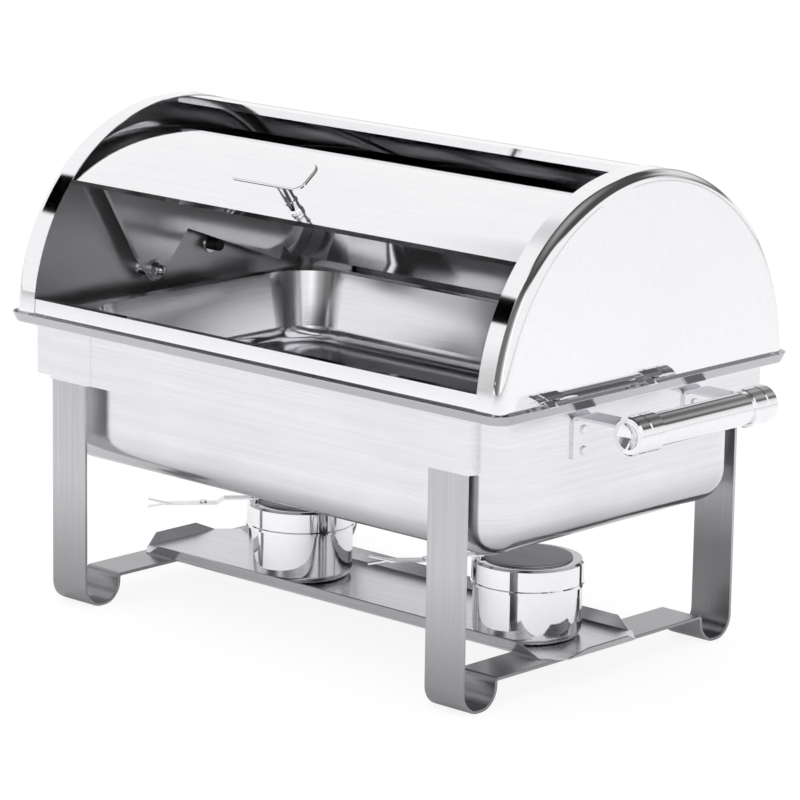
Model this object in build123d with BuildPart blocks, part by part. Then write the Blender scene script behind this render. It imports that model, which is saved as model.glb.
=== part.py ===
from build123d import *
import os
from math import atan2, cos, degrees, hypot, radians, sin

# Roll-top chafing dish for one full-size (530 x 325 mm) food pan.
# Millimetres. +Z up, long side along X, the front faces -Y.
# The origin is on the surface the feet stand on, under the middle of the dish.
# The lid is drawn rolled open against its stops.

# ---- driving dimensions -------------------------------------------------
SHEET = 1.2                      # folded and drawn sheet
THIN = 1.0                       # dome and lid sheet
GAP = 0.3                        # working gap between pieces that come apart

PAN_LENGTH, PAN_WIDTH = 530.0, 325.0      # food pan over its flange
PAN_DEPTH = 64.0
RIM_X, RIM_Y = 300.0, 193.5      # half size over the water pan's lip
RIM_Z = 265.4                    # top of the lip
GUTTER_Z = 258.0                 # floor of the gutter the dome stands in
SHOULDER_Z = 265.5               # raised edge the food pan hangs on
WATER_X, WATER_Y = 267.0, 164.0  # half size of the water pan's body
WATER_BOTTOM = 130.5
WATER_CORNER = 33.0              # plan radius of the body's corners
WATER_FILLET = 30.0              # radius between the body's walls and floor
MOUTH_X, MOUTH_Y = 257.5, 155.5  # half size of the mouth the food pan drops in
MOUTH_CORNER = 44.0
SEAT = 1.6                       # thickness of the seat round the mouth

APRON_X, APRON_Y = 284.0, 177.3  # half size over the apron
APRON_LOW = 208.0
PAD_OUT = 2.9                    # how far the apron swells over a leg
STEP_IN = 5.0                    # how far the apron's ends step in past a leg
SEAM_X = 258.0                   # where a long panel meets an end panel
LEG_X0, LEG_X1 = 208.5, 251.8    # inner and outer edge of a leg strap
LEG_Y = 179.0                    # outer face of a leg strap
STRAP = 3.0
FOOT_WIDTH = 44.0                # width of the curled foot over its outside
BAR_TOP = 26.5                   # top of the crossbar between two feet

SHELF_Y = -9.0                   # the shelf lies a little forward
SHELF_X, SHELF_HALF = 259.0, 61.0
BURNER_X = {"left": -94.0, "right": 181.0}
BURNER_Y = -18.0
BURNER_R = 49.0
BURNER_H = 68.0
LEVER_LENGTH = 139.0             # from the disc's centre to the lever's tip
LEVER_TURN = 229.0               # direction of the lever, degrees from +X
LEVER_DROP = 4.5                 # the lever's outer part is joggled down by this

ARCH_Z = 259.0                   # height of the dome's centre line
ARCH_R = 187.5                   # outer radius of the end caps
CAP_X = 294.0                    # outer face of an end panel
BAND_X = 267.0                   # inner edge of the arched band
CAP_FILLET = 10.0

PIVOT_Y, PIVOT_Z = -24.0, 284.0  # the lid's pivot is forward of the centre
LID_R = 175.0
LID_TURN = 44.0                  # degrees from closed to open
LID_LOW = 5.6                    # closed front edge, degrees above the centre
LID_SPAN = 121.0
LID_X = 281.0

GRIP_X, GRIP_Z = 348.0, 243.0    # axis of an end grip
GRIP_HALF = 90.0
GRIP_R = 14.2
FERRULE_R = 16.5
FERRULE_LENGTH = 30.0
BRACKET_Y = 73.0
BRACKET_WIDTH = 26.0

os.makedirs("parts", exist_ok=True)


def save(builder, label):
    builder.part.label = label
    export_step(builder.part, "parts/" + label + ".step")


def lid_centre():
    """Centre of the lid's curve once it has turned open about its pivot."""
    turn = radians(LID_TURN)
    dy, dz = -PIVOT_Y, ARCH_Z - PIVOT_Z
    y = PIVOT_Y + dy * cos(turn) + dz * sin(turn)
    z = PIVOT_Z - dy * sin(turn) + dz * cos(turn)
    return y, z


LID_Y, LID_Z = lid_centre()
LID_FRONT = LID_LOW + LID_TURN


def on_arc(cy, cz, radius, angle):
    """Point (y, z) at an angle above the front horizontal."""
    return cy - radius * cos(radians(angle)), cz + radius * sin(radians(angle))


def side_plane(x):
    """Plane across the dish at x, drawn in (y, z) and facing +X."""
    return Plane(origin=(x, 0, 0), x_dir=(0, 1, 0), z_dir=(1, 0, 0))


# ---- stand --------------------------------------------------------------
def apron_outline():
    """Plan outline of the apron, with a swelling over each leg."""
    pad_y = APRON_Y + PAD_OUT
    end_y = APRON_Y - STEP_IN
    pad0, pad1 = LEG_X0 - 3.0, LEG_X1 + 1.5
    quarter = [(pad0 - 2.0, -APRON_Y), (pad0, -pad_y), (pad1, -pad_y)]
    quarter += [(pad1 + 3.0, -end_y), (APRON_X, -end_y)]
    right = quarter + [(x, -y) for x, y in reversed(quarter)]
    return right + [(-x, y) for x, y in reversed(right)]


LEDGE_GAP = 3.5                  # between the apron's ledge and the water pan
LEDGE_Z = GUTTER_Z - 2 * SHEET
with BuildPart() as apron:
    with BuildSketch(Plane.XY.offset(APRON_LOW)) as plan:
        with BuildLine():
            Polyline(*apron_outline(), close=True)
        make_face()
        corners = [v for v in plan.vertices() if abs(v.X) > APRON_X - 1]
        fillet(corners, 8.0)
        offset(amount=-SHEET, kind=Kind.INTERSECTION, mode=Mode.SUBTRACT)
    extrude(amount=LEDGE_Z + SHEET - APRON_LOW)
    # ledge turned inwards along the top, under the water pan's gutter
    with BuildSketch(Plane.XY.offset(LEDGE_Z)):
        RectangleRounded(2 * APRON_X - 1, 2 * (APRON_Y - STEP_IN) - 1, 8.0)
        Rectangle(2 * LEG_X1, 2 * APRON_Y - 1)
        inner_x, inner_y = WATER_X + LEDGE_GAP, WATER_Y + LEDGE_GAP
        inner_corner = WATER_CORNER + LEDGE_GAP
        RectangleRounded(2 * inner_x, 2 * inner_y, inner_corner, mode=Mode.SUBTRACT)
    extrude(amount=SHEET)

# the apron is four panels, seamed beside the legs
REACH = 400.0                    # well past the apron on every side
END_WIDTH = REACH - SEAM_X
panels = {
    "apron_front": ((0, -REACH / 2), (2 * SEAM_X, REACH)),
    "apron_rear": ((0, REACH / 2), (2 * SEAM_X, REACH)),
    "apron_end_left": ((-SEAM_X - END_WIDTH / 2, 0), (END_WIDTH, 2 * REACH)),
    "apron_end_right": ((SEAM_X + END_WIDTH / 2, 0), (END_WIDTH, 2 * REACH)),
}
for label, ((middle_x, middle_y), (size_x, size_y)) in panels.items():
    with BuildPart() as panel:
        add(apron.part)
        with Locations((middle_x, middle_y, APRON_LOW)):
            Box(size_x, size_y, REACH, mode=Mode.INTERSECT)
    save(panel, label)

leg_y = LEG_Y - STRAP / 2
foot_y = LEG_Y - FOOT_WIDTH + STRAP / 2
bar_z = BAR_TOP - STRAP / 2
LEG_TOP = LEDGE_Z - 0.2

for side, sign in (("left", -1), ("right", 1)):
    with BuildPart() as leg_frame:
        with BuildLine(side_plane(sign * (LEG_X0 + LEG_X1) / 2)) as strap_path:
            half = [(-leg_y, LEG_TOP), (-leg_y, STRAP / 2)]
            half += [(-foot_y, STRAP / 2), (-foot_y, bar_z)]
            other = [(-y, z) for y, z in reversed(half)]
            FilletPolyline(*(half + other), radius=[18.5, 18.5, 3, 3, 18.5, 18.5])
        start = Plane(origin=strap_path.line @ 0, x_dir=(1, 0, 0), z_dir=(0, 0, -1))
        with BuildSketch(start):
            RectangleRounded(LEG_X1 - LEG_X0, STRAP, 0.6)
        sweep(path=strap_path.line)
    save(leg_frame, "leg_frame_" + side)

SHELF_Z = BAR_TOP
FLANGE = 11.5
flanges = [
    ((0, SHELF_Y - SHELF_HALF), (1, 0), SHELF_X - 19, 18.0, 70.0),
    ((0, SHELF_Y + SHELF_HALF), (-1, 0), SHELF_X - 19, 18.0, 62.0),
    ((SHELF_X, SHELF_Y), (0, 1), SHELF_HALF - 17, 18.0, 45.0),
    ((-SHELF_X, SHELF_Y), (0, -1), SHELF_HALF - 17, 18.0, 45.0),
]
with BuildPart() as fuel_shelf:
    with BuildSketch(Plane.XY.offset(SHELF_Z)) as floor_plan:
        with Locations((0, SHELF_Y)):
            Rectangle(2 * SHELF_X + 0.8, 2 * SHELF_HALF + 0.8)
        chamfer(floor_plan.vertices(), 17.0)
    extrude(amount=SHEET)
    # flanges folded up along the four sides, narrowing towards their tops
    for (fx, fy), (ux, uy), half_length, cut, rise in flanges:
        out = (uy, -ux)
        normal = (-out[0] * sin(radians(rise)), -out[1] * sin(radians(rise)), cos(radians(rise)))
        fold = Plane(origin=(fx, fy, SHELF_Z + 0.1), x_dir=(-ux, -uy, 0), z_dir=normal)
        with BuildSketch(fold):
            with BuildLine():
                edge = [(-half_length, 0), (half_length, 0)]
                edge += [(half_length - cut, FLANGE), (cut - half_length, FLANGE)]
                Polyline(*edge, close=True)
            make_face()
        extrude(amount=SHEET)
save(fuel_shelf, "fuel_shelf")

# end grips: bracket, ferrules, tube and dished end plugs
with BuildPart() as handle_brackets:
    for sign in (-1, 1):
        for y in (-BRACKET_Y, BRACKET_Y):
            x0 = sign * (APRON_X + 1.25)
            x1 = sign * (GRIP_X - 8)
            with BuildLine(Plane.XZ.offset(-y)) as strap_path:
                pts = [(x0, 212.0), (x0, GRIP_Z + 5), (x1, GRIP_Z + 5)]
                FilletPolyline(*pts, radius=5.0)
            foot = Plane(origin=strap_path.line @ 0, x_dir=(0, 1, 0), z_dir=(0, 0, 1))
            with BuildSketch(foot):
                Rectangle(BRACKET_WIDTH, 2.5)
            sweep(path=strap_path.line)
    with Locations((-GRIP_X, 0, GRIP_Z), (GRIP_X, 0, GRIP_Z)):
        Cylinder(FERRULE_R + 0.02, 2 * GRIP_HALF, rotation=(90, 0, 0), mode=Mode.SUBTRACT)
save(handle_brackets, "handle_brackets")

with BuildPart() as bracket_rivets:
    for sign in (-1, 1):
        for y in (-BRACKET_Y, BRACKET_Y):
            for z in (218.0, 236.0):
                head = Plane(origin=(sign * (APRON_X + 2.52), y, z), z_dir=(sign, 0, 0))
                with BuildSketch(head):
                    Circle(4.0)
                extrude(amount=1.6)
                fillet(bracket_rivets.edges().group_by(Axis.X)[-1 if sign > 0 else 0], 1.2)
save(bracket_rivets, "bracket_rivets")

for side, sign in (("left", -1), ("right", 1)):
    with BuildPart() as grip_tube:
        with BuildSketch(Plane.XZ.offset(-GRIP_HALF + FERRULE_LENGTH - 6)):
            with Locations((sign * GRIP_X, GRIP_Z)):
                Circle(GRIP_R)
                Circle(GRIP_R - 1.5, mode=Mode.SUBTRACT)
        extrude(amount=2 * (GRIP_HALF - FERRULE_LENGTH + 6))
    save(grip_tube, "grip_tube_" + side)

with BuildPart() as grip_ferrules:
    for sign in (-1, 1):
        for end in (-1, 1):
            start = end * (GRIP_HALF - FERRULE_LENGTH)
            axis = Plane(origin=(sign * GRIP_X, start, GRIP_Z), x_dir=(1, 0, 0), z_dir=(0, end, 0))
            half_profile = axis * Plane.XZ
            with BuildSketch(half_profile):
                with BuildLine():
                    ring = [(GRIP_R + 0.02, 0), (FERRULE_R - 0.8, 0), (FERRULE_R, 0.8)]
                    ring += [(FERRULE_R, 15.6), (FERRULE_R - 0.9, 16.5), (FERRULE_R, 17.4)]
                    ring += [(FERRULE_R, 28.5), (FERRULE_R - 1.5, 30), (13.2, 30)]
                    ring += [(13.2, 7), (GRIP_R + 0.02, 7)]
                    Polyline(*ring, close=True)
                make_face()
            revolve(axis=Axis(axis.origin, axis.z_dir))
save(grip_ferrules, "grip_ferrules")

PLUG_R = 13.15
DISH_R, DISH_DEEP = 17.4, 4.1    # hollow in the plug's outer face
with BuildPart() as grip_plugs:
    for sign in (-1, 1):
        for end in (-1, 1):
            with Locations((sign * GRIP_X, end * (GRIP_HALF - 5), GRIP_Z)):
                Cylinder(PLUG_R, 10.4, rotation=(90, 0, 0))
            with Locations((sign * GRIP_X, end * (GRIP_HALF + 0.2 + DISH_R - DISH_DEEP), GRIP_Z)):
                Sphere(DISH_R, mode=Mode.SUBTRACT)
save(grip_plugs, "grip_plugs")

# ---- water pan ----------------------------------------------------------
deck_x, deck_y = RIM_X - 4.2, RIM_Y - 4.2
with BuildPart() as water_pan:
    # gutter floor with the flared lip outside it
    with BuildSketch(Plane.XY.offset(GUTTER_Z - SHEET)):
        RectangleRounded(2 * deck_x, 2 * deck_y, 14.0)
    with BuildSketch(Plane.XY.offset(RIM_Z)):
        RectangleRounded(2 * RIM_X, 2 * RIM_Y, 18.0)
    loft()
    with BuildSketch(Plane.XY.offset(GUTTER_Z)):
        RectangleRounded(2 * deck_x - 1.4, 2 * deck_y - 1.4, 13.3)
    with BuildSketch(Plane.XY.offset(RIM_Z + 0.4)):
        RectangleRounded(2 * RIM_X - 2.0, 2 * RIM_Y - 2.0, 17.0)
    loft(mode=Mode.SUBTRACT)
    # the body, rising past the gutter to a raised shoulder
    with BuildSketch(Plane.XY.offset(WATER_BOTTOM)):
        RectangleRounded(2 * WATER_X, 2 * WATER_Y, WATER_CORNER)
    extrude(amount=SHOULDER_Z - WATER_BOTTOM)
    fillet(water_pan.edges().group_by(Axis.Z)[0], WATER_FILLET)
    fillet([e for e in water_pan.edges() if abs(e.center().Z - SHOULDER_Z) < 0.01], 2.0)
    # the well inside it, under the seat
    well_z = WATER_BOTTOM + SHEET
    with BuildSketch(Plane.XY.offset(well_z)):
        RectangleRounded(2 * (WATER_X - SHEET), 2 * (WATER_Y - SHEET), WATER_CORNER - SHEET)
    well = extrude(amount=SHOULDER_Z - SEAT - well_z, mode=Mode.PRIVATE)
    well = well.fillet(WATER_FILLET - SHEET, well.edges().group_by(Axis.Z)[0])
    add(well, mode=Mode.SUBTRACT)
    # the mouth through the seat
    with BuildSketch(Plane.XY.offset(SHOULDER_Z - SEAT - 1)):
        RectangleRounded(2 * MOUTH_X, 2 * MOUTH_Y, MOUTH_CORNER)
    extrude(amount=SEAT + 2, mode=Mode.SUBTRACT)
save(water_pan, "water_pan")

# ---- food pan -----------------------------------------------------------
FLANGE_Z = SHOULDER_Z + 0.1
with BuildPart() as food_pan:
    with BuildSketch(Plane.XY.offset(FLANGE_Z)):
        RectangleRounded(PAN_LENGTH, PAN_WIDTH, 18.0)
    extrude(amount=2.0)
    fillet(food_pan.edges().group_by(Axis.Z)[-1], 1.2)
    with BuildSketch(Plane.XY.offset(FLANGE_Z + 1.0)):
        RectangleRounded(PAN_LENGTH - 22, PAN_WIDTH - 22, 52.0)
    extrude(amount=-PAN_DEPTH, taper=10.0)
    fillet(food_pan.edges().group_by(Axis.Z)[0], 16.0)
    with BuildSketch(Plane.XY.offset(FLANGE_Z + 2.1)):
        RectangleRounded(PAN_LENGTH - 24, PAN_WIDTH - 24, 51.0)
    hollow = extrude(amount=-PAN_DEPTH - 0.1, taper=10.0, mode=Mode.PRIVATE)
    hollow = hollow.fillet(15.0, hollow.edges().group_by(Axis.Z)[0])
    add(hollow, mode=Mode.SUBTRACT)
save(food_pan, "food_pan")

# ---- dome ---------------------------------------------------------------
DOME_LOW = GUTTER_Z + 0.2
SHELL_R = ARCH_R - THIN - 0.1    # outer radius of the shell inside the bands
for side, sign in (("left", -1), ("right", 1)):
    with BuildPart() as end_cap:
        with BuildSketch(side_plane(sign * BAND_X)):
            with BuildLine():
                Line((ARCH_R, DOME_LOW), (ARCH_R, ARCH_Z))
                ThreePointArc((ARCH_R, ARCH_Z), (0, ARCH_Z + ARCH_R), (-ARCH_R, ARCH_Z))
                Line((-ARCH_R, ARCH_Z), (-ARCH_R, DOME_LOW))
                Line((-ARCH_R, DOME_LOW), (ARCH_R, DOME_LOW))
            make_face()
        extrude(amount=sign * (CAP_X - BAND_X))
        outer = end_cap.faces().filter_by(Axis.X).sort_by(Axis.X)[-1 if sign > 0 else 0]
        rim = [e for e in outer.edges() if e.center().Z > DOME_LOW + 0.1]
        fillet(rim, CAP_FILLET)
        inner = end_cap.faces().filter_by(Axis.X).sort_by(Axis.X)[0 if sign > 0 else -1]
        bottom = end_cap.faces().sort_by(Axis.Z)[0]
        offset(amount=-THIN, openings=[inner, bottom])
    save(end_cap, "end_cap_" + side)

with BuildPart() as rear_shell:
    r0, r1 = SHELL_R - THIN, SHELL_R
    with BuildSketch(side_plane(-BAND_X - 11)):
        with BuildLine():
            Line((r1, DOME_LOW), (r1, ARCH_Z))
            ThreePointArc((r1, ARCH_Z), on_arc(0, ARCH_Z, r1, 135), on_arc(0, ARCH_Z, r1, 91))
            Line(on_arc(0, ARCH_Z, r1, 91), on_arc(0, ARCH_Z, r0 - 6, 91))
            Line(on_arc(0, ARCH_Z, r0 - 6, 91), on_arc(0, ARCH_Z, r0 - 6, 91.32))
            Line(on_arc(0, ARCH_Z, r0 - 6, 91.32), on_arc(0, ARCH_Z, r0, 91.32))
            ThreePointArc(on_arc(0, ARCH_Z, r0, 91.32), on_arc(0, ARCH_Z, r0, 135), (r0, ARCH_Z))
            Line((r0, ARCH_Z), (r0, DOME_LOW))
            Line((r0, DOME_LOW), (r1, DOME_LOW))
        make_face()
    extrude(amount=2 * BAND_X + 22)
save(rear_shell, "rear_shell")

RAIL_ANGLE = 6.3                 # top of the front rail, degrees above the centre
with BuildPart() as front_rail:
    r0, r1 = SHELL_R - THIN, SHELL_R
    top = on_arc(0, ARCH_Z, r1, RAIL_ANGLE)
    lip_y, lip_z = top[0] + 8.0, top[1] - THIN
    root = (lip_y - 7.0, lip_z)
    with BuildSketch(side_plane(-BAND_X - 11)):
        with BuildLine():
            Line((-r1, DOME_LOW), (-r1, ARCH_Z))
            ThreePointArc((-r1, ARCH_Z), on_arc(0, ARCH_Z, r1, RAIL_ANGLE / 2), top)
            Polyline(top, (lip_y, top[1]), (lip_y, top[1] - 5), (lip_y - THIN, top[1] - 5))
            Polyline((lip_y - THIN, top[1] - 5), (lip_y - THIN, lip_z), root)
            ThreePointArc(root, on_arc(0, ARCH_Z, r0, RAIL_ANGLE / 2), (-r0, ARCH_Z))
            Polyline((-r0, ARCH_Z), (-r0, DOME_LOW), (-r1, DOME_LOW))
        make_face()
    extrude(amount=2 * BAND_X + 22)
save(front_rail, "front_rail")


def stack(sign, x0, y, z, rings, mode=Mode.ADD):
    """Stack of (radius, length) discs along X, from x0 towards the middle."""
    at = x0
    for radius, length in rings:
        with Locations((sign * (at - length / 2), y, z)):
            Cylinder(radius, length, rotation=(0, 90, 0), mode=mode)
        at -= length


# welded stud, spacer, and the nut that keeps the lid's cheek on
PANEL_IN = CAP_X - THIN
STUD_R = 4.0
BUSH_IN, BUSH_OUT = LID_X - 2.4, LID_X + 1.0
NUT_SEAT = BUSH_IN - GAP
STUD_END = NUT_SEAT - 7.5
with BuildPart() as pivot_studs:
    for sign in (-1, 1):
        stack(sign, PANEL_IN, PIVOT_Y, PIVOT_Z, [(11.0, 1.6), (STUD_R, PANEL_IN - 1.6 - STUD_END)])
save(pivot_studs, "pivot_studs")

with BuildPart() as pivot_spacers:
    for sign in (-1, 1):
        out = PANEL_IN - 1.6
        length = out - BUSH_OUT - GAP
        stack(sign, out, PIVOT_Y, PIVOT_Z, [(7.0, length)])
        stack(sign, out, PIVOT_Y, PIVOT_Z, [(STUD_R, length)], Mode.SUBTRACT)
save(pivot_spacers, "pivot_spacers")

with BuildPart() as pivot_nuts:
    for sign in (-1, 1):
        stack(sign, NUT_SEAT, PIVOT_Y, PIVOT_Z, [(9.0, 1.2)])
        hex_plane = Plane((sign * (NUT_SEAT - 1.2), PIVOT_Y, PIVOT_Z), z_dir=(-sign, 0, 0))
        with BuildSketch(hex_plane):
            RegularPolygon(6.8, 6)
        extrude(amount=4.3)
        with Locations((sign * (NUT_SEAT - 5.5), PIVOT_Y, PIVOT_Z)):
            Sphere(5.4)
        stack(sign, NUT_SEAT, PIVOT_Y, PIVOT_Z, [(STUD_R, NUT_SEAT - STUD_END)], Mode.SUBTRACT)
save(pivot_nuts, "pivot_nuts")

# rubber-faced stops that the open lid's cheeks rest on
EDGE_A, EDGE_B = (18.2, 317.3), (141.0, 271.8)   # lower edge of an open cheek
edge_length = hypot(EDGE_B[0] - EDGE_A[0], EDGE_B[1] - EDGE_A[1])
edge_y = (EDGE_B[0] - EDGE_A[0]) / edge_length
edge_z = (EDGE_B[1] - EDGE_A[1]) / edge_length
STOP_R = 5.5
STOP_ALONG = 47.0
STOP_Y = EDGE_A[0] + edge_y * STOP_ALONG + edge_z * (STOP_R + 0.2)
STOP_Z = EDGE_A[1] + edge_z * STOP_ALONG - edge_y * (STOP_R + 0.2)
with BuildPart() as stop_pins:
    for sign in (-1, 1):
        stack(sign, PANEL_IN, STOP_Y, STOP_Z, [(8.0, 1.5), (3.0, 12.0)])
save(stop_pins, "stop_pins")

with BuildPart() as stop_buffers:
    for sign in (-1, 1):
        stack(sign, PANEL_IN - 1.5, STOP_Y, STOP_Z, [(STOP_R, 13.5)])
        tips = [e for e in stop_buffers.edges() if abs(e.center().X - sign * (PANEL_IN - 15)) < 0.1]
        fillet(tips, 3.0)
        stack(sign, PANEL_IN - 1.5, STOP_Y, STOP_Z, [(3.0, 12.0)], Mode.SUBTRACT)
save(stop_buffers, "stop_buffers")

# tabs at the foot of each end panel that hook over the water pan's lip
TAB_Y = (-122.0, 5.0)
with BuildPart() as rim_tabs:
    for sign in (-1, 1):
        for y in TAB_Y:
            x0 = sign * (CAP_X + 0.6)
            for y0, width, drop in ((y + 6, 22.0, -1.5), (y - 12, 11.0, 4.0)):
                with BuildLine(Plane.XZ.offset(-y0)) as fold:
                    hook = [(x0, RIM_Z - 3), (x0, RIM_Z + 4)]
                    hook += [(x0 + sign * 4, RIM_Z + 6), (x0 + sign * 11, RIM_Z + 6 - drop)]
                    FilletPolyline(*hook, radius=1.6)
                foot = Plane(fold.line @ 0, x_dir=(0, 1, 0), z_dir=(0, 0, 1))
                with BuildSketch(foot):
                    Rectangle(width, THIN)
                sweep(path=fold.line)
            with Locations((x0, y - 1, RIM_Z - 2)):
                Box(THIN, 36, 2.5)
save(rim_tabs, "rim_tabs")

# ---- lid ----------------------------------------------------------------
LID_BACK = LID_FRONT + LID_SPAN


def lid_point(radius, angle):
    return on_arc(LID_Y, LID_Z, radius, angle)


with BuildPart() as lid_shell:
    r0, r1 = LID_R - THIN, LID_R
    hem = degrees(THIN / LID_R)
    middle = (LID_FRONT + LID_BACK) / 2
    with BuildSketch(side_plane(-LID_X)):
        with BuildLine():
            ThreePointArc(lid_point(r1, LID_FRONT), lid_point(r1, middle), lid_point(r1, LID_BACK))
            Line(lid_point(r1, LID_BACK), lid_point(r0, LID_BACK))
            inside = (lid_point(r0, LID_BACK), lid_point(r0, middle), lid_point(r0, LID_FRONT + hem))
            ThreePointArc(*inside)
            Line(lid_point(r0, LID_FRONT + hem), lid_point(r1 - 7, LID_FRONT + hem))
            Line(lid_point(r1 - 7, LID_FRONT + hem), lid_point(r1 - 7, LID_FRONT))
            Line(lid_point(r1 - 7, LID_FRONT), lid_point(r1, LID_FRONT))
        make_face()
    extrude(amount=2 * LID_X)
save(lid_shell, "lid_shell")

CHEEK = 1.2
CHEEK_FLANGE = 5.0
cheek_r = LID_R - THIN - 0.02
front_root = lid_point(cheek_r, LID_FRONT + 11)
rear_root = lid_point(cheek_r, LID_BACK - 2.2)
throat = (-46.0, 293.0)
for side, sign in (("left", -1), ("right", 1)):
    with BuildPart() as lid_cheek:
        with BuildSketch(side_plane(sign * LID_X - (CHEEK if sign > 0 else 0))):
            with BuildLine():
                ThreePointArc(front_root, lid_point(cheek_r, 112), rear_root)
                Line(rear_root, EDGE_B)
                Line(EDGE_B, EDGE_A)
                Line(EDGE_A, (PIVOT_Y + 13, PIVOT_Z - 1))
                Line((PIVOT_Y + 13, PIVOT_Z - 1), (PIVOT_Y + 5, PIVOT_Z - 11))
                Line((PIVOT_Y + 5, PIVOT_Z - 11), (PIVOT_Y - 5, PIVOT_Z - 11))
                Line((PIVOT_Y - 5, PIVOT_Z - 11), throat)
                Line(throat, front_root)
            make_face()
        extrude(amount=CHEEK)
        # flange folded inwards along the front edge
        dy, dz = front_root[0] - throat[0], front_root[1] - throat[1]
        middle_y, middle_z = (front_root[0] + throat[0]) / 2, (front_root[1] + throat[1]) / 2
        with BuildSketch(side_plane(sign * LID_X)):
            with Locations(Location((middle_y, middle_z, 0), degrees(atan2(dz, dy)))):
                with Locations((1, -CHEEK / 2)):
                    Rectangle(hypot(dy, dz) - 8, CHEEK)
        extrude(amount=-sign * CHEEK_FLANGE)
        with Locations((sign * LID_X, PIVOT_Y, PIVOT_Z)):
            Cylinder(6.0, 12, rotation=(0, 90, 0), mode=Mode.SUBTRACT)
    save(lid_cheek, "lid_cheek_" + side)

with BuildPart() as pivot_bushes:
    for sign in (-1, 1):
        stack(sign, BUSH_OUT, PIVOT_Y, PIVOT_Z, [(7.5, BUSH_OUT - LID_X), (6.0, CHEEK)])
        stack(sign, LID_X - CHEEK, PIVOT_Y, PIVOT_Z, [(7.5, LID_X - CHEEK - BUSH_IN)])
        bore = [(STUD_R + 0.05, BUSH_OUT - BUSH_IN)]
        stack(sign, BUSH_OUT, PIVOT_Y, PIVOT_Z, bore, Mode.SUBTRACT)
save(pivot_bushes, "pivot_bushes")

# paddle handle on its post, and the screw that holds it from inside
HANDLE_X = 6.0
POST_ANGLE = LID_FRONT + 3.4
POST_LENGTH = 46.0
PADDLE = (86.0, 32.0)
post_y, post_z = lid_point(LID_R, POST_ANGLE)
outward = (0, -cos(radians(POST_ANGLE)), sin(radians(POST_ANGLE)))
post_plane = Plane(origin=(HANDLE_X, post_y, post_z), x_dir=(1, 0, 0), z_dir=outward)
with BuildPart() as handle_post:
    with BuildSketch(post_plane * Plane.XZ):
        with BuildLine():
            outline = [(0, 0.1), (6.5, 0.1), (6.5, 3), (5.2, 5), (5.2, 11), (6.2, 12), (6.2, 14)]
            outline += [(5.2, 15), (5.2, POST_LENGTH - 4), (7.5, POST_LENGTH), (0, POST_LENGTH)]
            Polyline(*outline, close=True)
        make_face()
    revolve(axis=Axis(post_plane.origin, post_plane.z_dir))
save(handle_post, "lid_handle_post")

with BuildPart() as handle_plate:
    with BuildSketch(post_plane.offset(POST_LENGTH)):
        RectangleRounded(*PADDLE, 9.0)
    extrude(amount=2.5)
    fillet(handle_plate.faces().sort_by(Axis(post_plane.origin, post_plane.z_dir))[-1].edges(), 1.0)
save(handle_plate, "lid_handle_plate")

with BuildPart() as handle_screw:
    with BuildSketch(post_plane.offset(-THIN - 0.22)):
        Circle(8.0)
    extrude(amount=-1.0)
    with BuildSketch(post_plane.offset(-THIN - 1.22)):
        Circle(5.0)
    extrude(amount=-3.2)
save(handle_screw, "lid_handle_screw")

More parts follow.
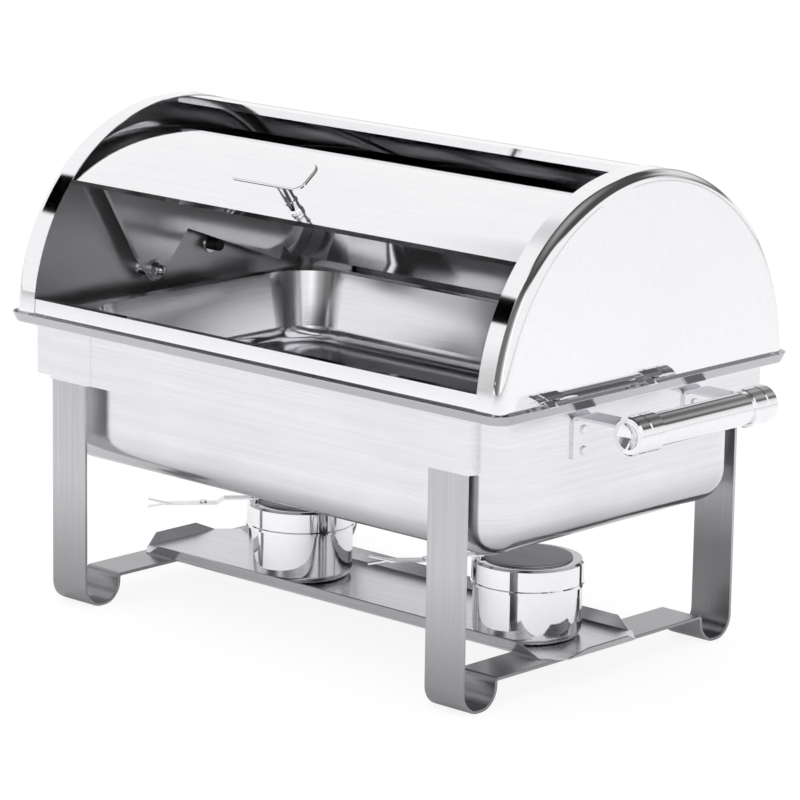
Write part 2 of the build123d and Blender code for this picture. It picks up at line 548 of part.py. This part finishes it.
# ---- fuel burners -------------------------------------------------------
FLOOR_Z = SHELF_Z + SHEET + 0.1
CUP_R = BURNER_R - 1.4
COVER_LOW = FLOOR_Z + BURNER_H - 22.0
COVER_TOP = FLOOR_Z + BURNER_H
HOLE_R = 33.0
RIVET_OUT = 42.0                 # damper pivot, out from the burner's middle
DISC_R = 39.0
LEVER, LEVER_WIDTH = 1.5, 11.0   # thickness and width of the lever
for side, bx in BURNER_X.items():
    reach = (cos(radians(LEVER_TURN)), sin(radians(LEVER_TURN)))
    rivet = (bx + RIVET_OUT * reach[0], BURNER_Y + RIVET_OUT * reach[1])
    axis = Axis((bx, BURNER_Y, 0), (0, 0, 1))
    section = Plane(origin=(bx, BURNER_Y, 0), x_dir=(1, 0, 0), z_dir=(0, -1, 0))

    with BuildPart() as burner_cup:
        with BuildSketch(Plane.XY.offset(FLOOR_Z)):
            with Locations((bx, BURNER_Y)):
                Circle(CUP_R)
        extrude(amount=BURNER_H - 8)
        fillet(burner_cup.edges().group_by(Axis.Z)[0], 7.0)
        top = burner_cup.faces().sort_by(Axis.Z)[-1]
        offset(amount=-THIN, openings=top)
    save(burner_cup, "burner_cup_" + side)

    with BuildPart() as fuel_can:
        with BuildSketch(Plane.XY.offset(FLOOR_Z + THIN + 0.1)):
            with Locations((bx, BURNER_Y)):
                Circle(38.0)
        extrude(amount=52.0)
        fillet(fuel_can.edges().group_by(Axis.Z)[-1], 2.0)
        with BuildSketch(Plane.XY.offset(FLOOR_Z + 47.0)):
            with Locations((bx, BURNER_Y)):
                Circle(23.0)
        extrude(amount=10.0, mode=Mode.SUBTRACT)
    save(fuel_can, "fuel_can_" + side)

    with BuildPart() as burner_cover:
        with BuildSketch(section):
            with BuildLine():
                wall = [(CUP_R + 0.1, COVER_LOW), (BURNER_R + 0.8, COVER_LOW)]
                wall += [(BURNER_R + 0.8, COVER_LOW + 2.2), (BURNER_R, COVER_LOW + 3.2)]
                wall += [(BURNER_R, COVER_TOP - 2), (BURNER_R - 2, COVER_TOP)]
                wall += [(HOLE_R, COVER_TOP), (HOLE_R, COVER_TOP - THIN)]
                wall += [(BURNER_R - 2.4, COVER_TOP - THIN), (BURNER_R - 1.1, COVER_TOP - 2.4)]
                wall += [(CUP_R + 0.1, COVER_TOP - 3.4)]
                Polyline(*wall, close=True)
            make_face()
        revolve(axis=axis)
        with Locations((rivet[0], rivet[1], COVER_TOP)):
            Cylinder(2.6, 6, mode=Mode.SUBTRACT)
    save(burner_cover, "burner_cover_" + side)

    with BuildPart() as damper_rivet:
        with BuildSketch(Plane.XY.offset(COVER_TOP - THIN - 1.2)):
            with Locations(rivet):
                Circle(4.5)
        extrude(amount=1.2)
        with BuildSketch(Plane.XY.offset(COVER_TOP - THIN)):
            with Locations(rivet):
                Circle(2.6)
        extrude(amount=THIN + 4.0)
        with BuildSketch(Plane.XY.offset(COVER_TOP + 4.0)):
            with Locations(rivet):
                Circle(4.5)
        extrude(amount=1.4)
        fillet(damper_rivet.edges().group_by(Axis.Z)[-1], 1.0)
    save(damper_rivet, "damper_rivet_" + side)

    # closing disc, and the lever riveted over it
    with BuildPart() as damper_disc:
        with BuildSketch(Plane.XY.offset(COVER_TOP + GAP)):
            with Locations((bx, BURNER_Y)):
                Circle(DISC_R)
        extrude(amount=1.5)
        fillet(damper_disc.edges().group_by(Axis.Z)[-1], 1.0)
    save(damper_disc, "damper_disc_" + side)

    lever_z = COVER_TOP + GAP + 1.55
    lever_plane = Plane(origin=(bx, BURNER_Y, lever_z), x_dir=(reach[0], reach[1], 0))
    lever_side = Plane(lever_plane.origin, x_dir=lever_plane.x_dir, z_dir=(reach[1], -reach[0], 0))
    outer_plane = lever_plane.offset(-LEVER_DROP)
    with BuildPart() as damper_lever:
        with BuildSketch(lever_side):
            with BuildLine():
                under = [(34, 0), (70, 0), (77, -LEVER_DROP), (LEVER_LENGTH - 16, -LEVER_DROP)]
                Polyline(*under, *[(x, y + LEVER) for x, y in reversed(under)], close=True)
            make_face()
        extrude(amount=LEVER_WIDTH / 2, both=True)
        with BuildSketch(outer_plane.offset(-1)):
            with Locations(((LEVER_LENGTH - 16 + 34) / 2, 0)):
                SlotOverall(LEVER_LENGTH - 16 - 34, LEVER_WIDTH)
        extrude(amount=LEVER_DROP + LEVER + 2, mode=Mode.INTERSECT)
        with Locations(lever_plane * Location((RIVET_OUT, 0, 0))):
            Cylinder(2.65, 6, mode=Mode.SUBTRACT)
        # forked tip, one tine bent up and one down
        for tine, lift in ((2.9, 13.0), (-2.9, -9.0)):
            tip = outer_plane * Location((LEVER_LENGTH - 22, tine, LEVER / 2), (0, -lift, 0))
            with BuildSketch(tip):
                with Locations((10.5, 0)):
                    RectangleRounded(24.0, 4.6, 1.5)
            extrude(amount=0.7, both=True)
        with BuildSketch(outer_plane.offset(LEVER)):
            with Locations((LEVER_LENGTH - 50, 0)):
                Circle(3.4)
        extrude(amount=1.8)
        fillet(damper_lever.edges().group_by(Axis.Z)[-1], 0.4)
    save(damper_lever, "damper_lever_" + side)
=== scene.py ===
from math import cos, radians, sin

import bpy
from mathutils import Matrix, Vector

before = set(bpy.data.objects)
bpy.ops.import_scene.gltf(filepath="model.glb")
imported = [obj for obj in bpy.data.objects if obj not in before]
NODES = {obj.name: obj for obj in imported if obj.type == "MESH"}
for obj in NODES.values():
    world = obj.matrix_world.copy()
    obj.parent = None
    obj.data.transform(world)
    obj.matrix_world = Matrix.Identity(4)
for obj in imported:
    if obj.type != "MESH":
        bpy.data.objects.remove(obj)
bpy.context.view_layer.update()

# sockets of a mix node set to RGBA
MIX_FACTOR, MIX_A, MIX_B, MIX_RESULT = 0, 6, 7, 2

# an end cap's inner skin, metres: it is found by its distance from a rounded core
CAP_CORE_X = 0.284               # half length of the core
CAP_AXIS_Z = 0.259               # height of the arch's axis
CAP_CORE_RADIUS = 0.1775
CAP_SKIN = 0.0095                # the inner skin is nearer the core than this

# how much the fine streaks, coarse streaks and clouds each add to a metal's tone
STREAK_SHARE, COARSE_SHARE, CLOUD_SHARE = 0.45, 0.25, 0.3
COARSE_GRAIN = 0.21              # the coarse streaks' frequency over the fine ones'
SMUDGE = 6.0                     # frequency of the clouds, per metre
TONE_LOW, TONE_HIGH = 0.3, 0.7   # the part of the noise's range that the tones span
CLOUD_GLOSS = 0.8                # how far the clouds vary the roughness, over the streaks
RIM_SHADE_BLUE, LINING_BLUE = 1.03, 1.02   # blue over red and green in the rim's painted shade and in the lining's tone
BUMP_GRAIN = 0.0001              # depth of the grain, metres
BUMP_WAVE = 0.002                # depth of the slow ripple in a polished sheet
WAVE_FREQUENCY = 9.0             # per metre
RIM_SHADE_BLEND = 0.0006               # height over which the rim's painted shade comes in
FOOT_SHADE_WANDER = 0.02               # how far the clouds shift the painted shade at the foot


# ---- small node helpers ---------------------------------------------------
class Tree:
    """Adds nodes to a node tree and links them by the arguments' types."""

    def __init__(self, tree):
        self.tree = tree
        tree.nodes.clear()

    def add(self, kind, inputs=None, **props):
        node = self.tree.nodes.new(kind)
        for key, value in props.items():
            setattr(node, key, value)
        for key, value in (inputs or {}).items():
            self.put(node.inputs[key], value)
        return node

    def put(self, socket, value):
        if isinstance(value, bpy.types.NodeSocket):
            self.tree.links.new(value, socket)
        else:
            socket.default_value = value

    def math(self, operation, a, b=0.0, c=0.0):
        node = self.add("ShaderNodeMath", {0: a, 1: b, 2: c}, operation=operation)
        return node.outputs[0]

    def ramp(self, value, low, high, out_low=0.0, out_high=1.0):
        values = {"Value": value, "From Min": low, "From Max": high}
        values.update({"To Min": out_low, "To Max": out_high})
        node = self.add("ShaderNodeMapRange", values, interpolation_type="SMOOTHSTEP")
        return node.outputs[0]

    def noise(self, vector, stretch, detail, roughness):
        mapped = self.add("ShaderNodeMapping", {"Vector": vector, "Scale": stretch})
        values = {"Vector": mapped.outputs[0], "Scale": 1.0}
        values.update({"Detail": detail, "Roughness": roughness})
        return self.add("ShaderNodeTexNoise", values).outputs["Fac"]

    def blend(self, factor, a, b):
        """Mixes two colours; a mix node's RGBA sockets can only be told apart by number."""
        node = self.add("ShaderNodeMix", data_type="RGBA")
        self.put(node.inputs[MIX_FACTOR], factor)
        self.put(node.inputs[MIX_A], a)
        self.put(node.inputs[MIX_B], b)
        return node.outputs[MIX_RESULT]


def cap_inside(t, place):
    """1 on the inner skin of an end cap and 0 on its outer skin, 1 mm further out."""
    x, y, z = t.add("ShaderNodeSeparateXYZ", {0: place}).outputs
    beyond = t.math("MAXIMUM", t.math("SUBTRACT", t.math("ABSOLUTE", x), CAP_CORE_X), 0.0)
    above = t.math("MAXIMUM", t.math("SUBTRACT", z, CAP_AXIS_Z), 0.0)
    radius = t.math("SQRT", t.math("MULTIPLY_ADD", y, y, t.math("MULTIPLY", above, above)))
    past = t.math("MAXIMUM", t.math("SUBTRACT", radius, CAP_CORE_RADIUS), 0.0)
    square = t.math("MULTIPLY_ADD", beyond, beyond, t.math("MULTIPLY", past, past))
    return t.math("LESS_THAN", t.math("SQRT", square), CAP_SKIN)


def height(t, place):
    return t.add("ShaderNodeSeparateXYZ", {0: place}).outputs[2]


def metal(name, light, dark, rough, grain, grain_bump, spread, wave=0.0, metallic=1.0,
          foot_shade=None, lining=None, rim_shade=None):
    """Steel: two tones, streaked along its grain, with smudged gloss and a fine bump.

    grain is the streaks' frequency along X, Y and Z, per metre: low along a streak and
    high across it. spread is how far the roughness varies, and wave a slow ripple.
    The foot shade (low, high, tone) is painted shade: the piece darkens from high down
    to low. The rim shade (height, tone) is painted shade: it is darker above that
    height. lining is (roughness added, tone) for an end cap's inner skin.
    """
    material = bpy.data.materials.new(name)
    material.use_nodes = True
    t = Tree(material.node_tree)
    place = t.add("ShaderNodeTexCoord").outputs["Object"]
    streak = t.noise(place, grain, 4.0, 0.65)
    coarse = t.noise(place, tuple(g * COARSE_GRAIN for g in grain), 2.0, 0.5)
    cloud = t.noise(place, (SMUDGE,) * 3, 3.0, 0.6)
    tone = t.math("MULTIPLY_ADD", streak, STREAK_SHARE, t.math("MULTIPLY", coarse, COARSE_SHARE))
    tone = t.math("MULTIPLY_ADD", cloud, CLOUD_SHARE, tone)
    colour = t.blend(t.ramp(tone, TONE_LOW, TONE_HIGH), dark + (1.0,), light + (1.0,))
    if foot_shade:
        # painted shade: darker towards the foot of the piece, between two heights, as if near the
        # shaded floor
        wander = t.math("MULTIPLY_ADD", cloud, FOOT_SHADE_WANDER, height(t, place))
        shade = t.ramp(wander, foot_shade[0], foot_shade[1], 1.0, 0.0)
        colour = t.blend(shade, colour, tuple(foot_shade[2] * d for d in dark) + (1.0,))
    if rim_shade:
        # painted shade: the gutter and lip, above one height, are painted darker than the drawn
        # body
        shade = t.ramp(height(t, place), rim_shade[0], rim_shade[0] + RIM_SHADE_BLEND)
        colour = t.blend(shade, colour, (rim_shade[1], rim_shade[1], rim_shade[1] * RIM_SHADE_BLUE, 1.0))
    gloss = t.math("MULTIPLY_ADD", streak, spread, rough - spread / 2)
    cloud_spread = spread * CLOUD_GLOSS
    gloss = t.math("SUBTRACT", gloss, cloud_spread / 2)
    gloss = t.math("MULTIPLY_ADD", cloud, cloud_spread, gloss)
    if lining:
        # the inside of an end cap is left duller than the outside
        inside = cap_inside(t, place)
        gloss = t.math("MULTIPLY_ADD", inside, lining[0], gloss)
        colour = t.blend(inside, colour, (lining[1], lining[1], lining[1] * LINING_BLUE, 1.0))
    values = {"Height": streak, "Strength": grain_bump, "Distance": BUMP_GRAIN}
    normal = t.add("ShaderNodeBump", values).outputs[0]
    if wave:
        ripple = t.noise(place, (WAVE_FREQUENCY,) * 3, 1.0, 0.4)
        values = {"Height": ripple, "Strength": wave, "Distance": BUMP_WAVE, "Normal": normal}
        normal = t.add("ShaderNodeBump", values).outputs[0]
    values = {"Base Color": colour, "Metallic": metallic, "Roughness": gloss, "Normal": normal}
    shader = t.add("ShaderNodeBsdfPrincipled", values)
    t.add("ShaderNodeOutputMaterial", {"Surface": shader.outputs[0]})
    return material


POLISH = dict(light=(0.92, 0.92, 0.935), dark=(0.86, 0.86, 0.88), rough=0.045,
              grain=(35.0, 900.0, 900.0), grain_bump=0.02, spread=0.03, wave=0.02)
MIRROR = metal("mirror steel", **POLISH)
CAP = metal("end cap steel", lining=(0.27, 0.72), **POLISH)
SATIN = metal("satin steel", light=(0.86, 0.86, 0.885), dark=(0.72, 0.72, 0.745), rough=0.19,
              grain=(14.0, 14.0, 1500.0), grain_bump=0.35, spread=0.12)
# painted shade: the legs darken towards the floor
LEG = metal("leg steel", light=(0.62, 0.62, 0.64), dark=(0.48, 0.48, 0.50), rough=0.30,
            grain=(1500.0, 14.0, 14.0), grain_bump=0.35, spread=0.12, foot_shade=(0.0, 0.16, 0.62))
SHELF = metal("shelf steel", light=(0.66, 0.66, 0.68), dark=(0.52, 0.52, 0.54), rough=0.25,
              grain=(14.0, 1500.0, 1500.0), grain_bump=0.35, spread=0.12)
# painted shade: the water pan darkens towards the floor and above its rim height
DRAWN = metal("drawn steel", light=(0.84, 0.84, 0.865), dark=(0.71, 0.71, 0.735), rough=0.16,
              grain=(14.0, 14.0, 1100.0), grain_bump=0.25, spread=0.10,
              foot_shade=(0.14, 0.185, 0.66), rim_shade=(0.2572, 0.5))
PAN = metal("pan steel", light=(0.94, 0.94, 0.96), dark=(0.84, 0.84, 0.86), rough=0.15,
            grain=(14.0, 14.0, 1100.0), grain_bump=0.25, spread=0.08, metallic=0.95)
INNER = metal("inner steel", light=(0.92, 0.92, 0.935), dark=(0.82, 0.82, 0.84), rough=0.10,
              grain=(35.0, 700.0, 700.0), grain_bump=0.05, spread=0.06, wave=0.02,
              metallic=0.55)
FITTING = metal("fitting steel", light=(0.84, 0.84, 0.86), dark=(0.72, 0.72, 0.74),
                rough=0.14, grain=(300.0, 300.0, 300.0), grain_bump=0.2, spread=0.08)
DULL = metal("dull steel", light=(0.44, 0.44, 0.45), dark=(0.30, 0.30, 0.31), rough=0.42,
             grain=(60.0, 900.0, 900.0), grain_bump=0.4, spread=0.12)
CAN = metal("can steel", light=(0.70, 0.69, 0.66), dark=(0.55, 0.54, 0.52), rough=0.22,
            grain=(14.0, 14.0, 900.0), grain_bump=0.2, spread=0.1)


def rubber():
    material = bpy.data.materials.new("rubber")
    material.use_nodes = True
    t = Tree(material.node_tree)
    place = t.add("ShaderNodeTexCoord").outputs["Object"]
    grit = t.noise(place, (1800.0,) * 3, 4.0, 0.7)
    colour = t.blend(t.ramp(grit, 0.35, 0.65), (0.012, 0.012, 0.013, 1), (0.035, 0.035, 0.036, 1))
    bump = t.add("ShaderNodeBump", {"Height": grit, "Strength": 0.4, "Distance": 0.0002})
    gloss = t.ramp(grit, 0.3, 0.7, 0.45, 0.62)
    values = {"Base Color": colour, "Roughness": gloss, "Normal": bump.outputs[0]}
    shader = t.add("ShaderNodeBsdfPrincipled", values)
    t.add("ShaderNodeOutputMaterial", {"Surface": shader.outputs[0]})
    return material


RUBBER = rubber()

FINISH = {
    "apron_front": SATIN, "apron_rear": SATIN, "apron_end_left": SATIN,
    "apron_end_right": SATIN, "leg_frame_left": LEG, "leg_frame_right": LEG, "fuel_shelf": SHELF,
    "handle_brackets": SATIN, "bracket_rivets": FITTING, "water_pan": DRAWN, "food_pan": PAN,
    "grip_tube_left": MIRROR, "grip_tube_right": MIRROR, "grip_ferrules": MIRROR,
    "grip_plugs": MIRROR, "end_cap_left": CAP, "end_cap_right": CAP,
    "rear_shell": MIRROR, "front_rail": MIRROR, "lid_shell": MIRROR,
    "lid_cheek_left": INNER, "lid_cheek_right": INNER, "lid_handle_post": MIRROR,
    "lid_handle_plate": MIRROR, "lid_handle_screw": FITTING, "stop_buffers": RUBBER,
}
FINISH.update({n: FITTING for n in ("pivot_studs", "pivot_spacers", "pivot_nuts")})
FINISH.update({n: FITTING for n in ("stop_pins", "rim_tabs", "pivot_bushes")})
for side in ("left", "right"):
    FINISH.update({"burner_cup_" + side: MIRROR, "burner_cover_" + side: MIRROR})
    FINISH.update({"damper_disc_" + side: DULL, "damper_lever_" + side: FITTING})
    FINISH.update({"damper_rivet_" + side: FITTING, "fuel_can_" + side: CAN})
for name, node in NODES.items():
    for slot in node.material_slots:
        slot.material = FINISH[name]


# ---- camera ---------------------------------------------------------------
# fitted to the rim, legs, apron and arch in the photo
YAW, PITCH, ROLL = radians(42.738), radians(12.817), radians(0.932)
LENS_MM, SENSOR_MM = 181.4, 36.0
DISTANCE, SHIFT_RIGHT, SHIFT_UP = 3.60023, 0.00764, 0.0018
AIM = Vector((0, 0, 0.2))
back = Vector((sin(YAW) * cos(PITCH), -cos(YAW) * cos(PITCH), sin(PITCH)))
level = Vector((cos(YAW), sin(YAW), 0.0))
rise = back.cross(level)
right = level * cos(ROLL) + rise * sin(ROLL)
up = rise * cos(ROLL) - level * sin(ROLL)
camera = bpy.data.objects.new("camera", bpy.data.cameras.new("camera"))
bpy.context.scene.collection.objects.link(camera)
camera.data.sensor_width = SENSOR_MM
camera.data.lens = LENS_MM
camera.data.clip_end = 100.0
spot = AIM + back * DISTANCE + right * SHIFT_RIGHT + up * SHIFT_UP
turn = Matrix((right, up, back)).transposed()
camera.matrix_world = Matrix.Translation(spot) @ turn.to_4x4()
bpy.context.scene.camera = camera


# ---- studio: floor and surrounding light ----------------------------------
# camera rays see a pale floor and backdrop; every other ray sees a lit floor and the
# studio's light and dark parts, which the steel reflects
FLOOR_TONES = (0.83, 0.83, 0.835, 1), (0.87, 0.87, 0.875, 1)
FLOOR_TONE_SEEN = (0.20, 0.20, 0.202, 1)
FLOOR_GLOW, FLOOR_GLOW_SEEN = 0.25, 0.87
WALL_LEVEL = 0.92                # brightness of the white walls in reflections
DIM_LEVEL = 0.075                # brightness of the dark parts


def floor():
    half = 30.0
    mesh = bpy.data.meshes.new("floor")
    corners = [(-half, -half, 0), (half, -half, 0), (half, half, 0), (-half, half, 0)]
    mesh.from_pydata(corners, [], [(0, 1, 2, 3)])
    obj = bpy.data.objects.new("floor", mesh)
    bpy.context.scene.collection.objects.link(obj)
    material = bpy.data.materials.new("floor")
    material.use_nodes = True
    t = Tree(material.node_tree)
    place = t.add("ShaderNodeTexCoord").outputs["Object"]
    cloud = t.noise(place, (0.8,) * 3, 2.0, 0.5)
    seen = t.add("ShaderNodeLightPath").outputs["Is Camera Ray"]
    colour = t.blend(seen, t.blend(cloud, *FLOOR_TONES), FLOOR_TONE_SEEN)
    diffuse = t.add("ShaderNodeBsdfDiffuse", {"Color": colour})
    strength = t.math("MULTIPLY_ADD", seen, FLOOR_GLOW_SEEN - FLOOR_GLOW, FLOOR_GLOW)
    glow = t.add("ShaderNodeEmission", {"Color": (1, 1, 1, 1), "Strength": strength})
    shader = t.add("ShaderNodeAddShader", {0: diffuse.outputs[0], 1: glow.outputs[0]})
    t.add("ShaderNodeOutputMaterial", {"Surface": shader.outputs[0]})
    mesh.materials.append(material)


def surroundings():
    """White walls left and right and low behind, dim above and on the front side.

    az is 0 towards the front (-Y) and grows to the right; el is the height angle.
    Both are in degrees and belong to the ray's direction in the world.
    """
    world = bpy.data.worlds.new("studio")
    bpy.context.scene.world = world
    world.use_nodes = True
    t = Tree(world.node_tree)
    ray = t.add("ShaderNodeTexCoord").outputs["Generated"]
    parts = t.add("ShaderNodeSeparateXYZ", {0: ray}).outputs
    az = t.math("DEGREES", t.math("ARCTAN2", parts[0], t.math("MULTIPLY", parts[1], -1.0)))
    el = t.math("DEGREES", t.math("ARCSINE", parts[2]))

    def between(value, low, high, soft):
        a = t.ramp(value, low - soft, low + soft)
        b = t.ramp(value, high - soft, high + soft)
        return t.math("MULTIPLY", a, t.math("SUBTRACT", 1.0, b))

    # white walls: left, right under a sloping top edge, and low all round but the front
    left = t.math("MULTIPLY", between(az, -150, -40, 3), between(el, -91, 51, 3))
    top = t.ramp(az, 80, 125, 46, 22)
    under = t.ramp(t.math("SUBTRACT", el, top), -4, 4, 1.0, 0.0)
    right_wall = t.math("MULTIPLY", between(az, 28, 150, 12), under)
    low = t.ramp(el, 5, 11, 1.0, 0.0)
    round_back = t.math("SUBTRACT", 1.0, between(az, -60, 60, 8))
    behind = t.math("MULTIPLY", low, round_back)
    white = t.math("MAXIMUM", t.math("MAXIMUM", left, right_wall), behind)
    # and white everywhere under the horizon
    below = t.ramp(el, -6, -1, 1.0, 0.0)
    white = t.math("MAXIMUM", white, below)
    # a dark rail crossing the left wall
    rail_az, rail_el, rail_slope = -49.0, 30.3, -0.36
    line = t.math("MULTIPLY_ADD", az, rail_slope, rail_el - rail_slope * rail_az)
    gap = t.math("ABSOLUTE", t.math("SUBTRACT", el, line))
    rail = t.math("MULTIPLY", t.ramp(gap, 3.3, 4.1, 1.0, 0.0), between(az, -73, -40, 1))
    white = t.math("MULTIPLY", white, t.math("SUBTRACT", 1.0, rail))
    # dim parts: the front, lighter to the right, and the ceiling
    front = t.math("MULTIPLY", between(az, -40, 40, 6), between(el, -20, 45, 8))
    front_level = t.ramp(az, 4, 14, 0.10, 0.30)
    dim = t.math("MULTIPLY_ADD", front, front_level, DIM_LEVEL)
    dim = t.math("ADD", dim, t.ramp(el, 52, 88, 0.0, 0.30))
    # a soft window behind the dish
    astern = t.math("ABSOLUTE", t.math("SUBTRACT", t.math("ABSOLUTE", az), 180.0))
    pane = t.math("MULTIPLY", t.ramp(astern, 14, 34, 1.0, 0.0), between(el, 15, 36, 7))
    dim = t.math("MULTIPLY_ADD", pane, 0.7, dim)
    dim = t.math("MULTIPLY", dim, t.math("SUBTRACT", 1.0, rail))
    level_out = t.math("MULTIPLY_ADD", white, WALL_LEVEL, dim)
    seen = t.add("ShaderNodeLightPath").outputs["Is Camera Ray"]
    reflected = t.math("MULTIPLY", t.math("SUBTRACT", 1.0, seen), level_out)
    strength = t.math("ADD", seen, reflected)
    sky = t.add("ShaderNodeBackground", {"Color": (1, 1, 1, 1), "Strength": strength})
    t.add("ShaderNodeOutputWorld", {"Surface": sky.outputs[0]})


def soft_light(name, place, aim, size, watts):
    light = bpy.data.lights.new(name, "AREA")
    light.shape = "RECTANGLE"
    light.size, light.size_y = size
    light.energy = watts
    obj = bpy.data.objects.new(name, light)
    bpy.context.scene.collection.objects.link(obj)
    obj.location = place
    direction = Vector(aim) - Vector(place)
    obj.rotation_mode = "QUATERNION"
    obj.rotation_quaternion = direction.to_track_quat("-Z", "Y")
    obj.visible_glossy = False


floor()
surroundings()
soft_light("overhead", place=(0, 0, 6.0), aim=(0, 0, 0), size=(8.0, 8.0), watts=290.0)
bpy.context.scene.view_settings.view_transform = "Standard"
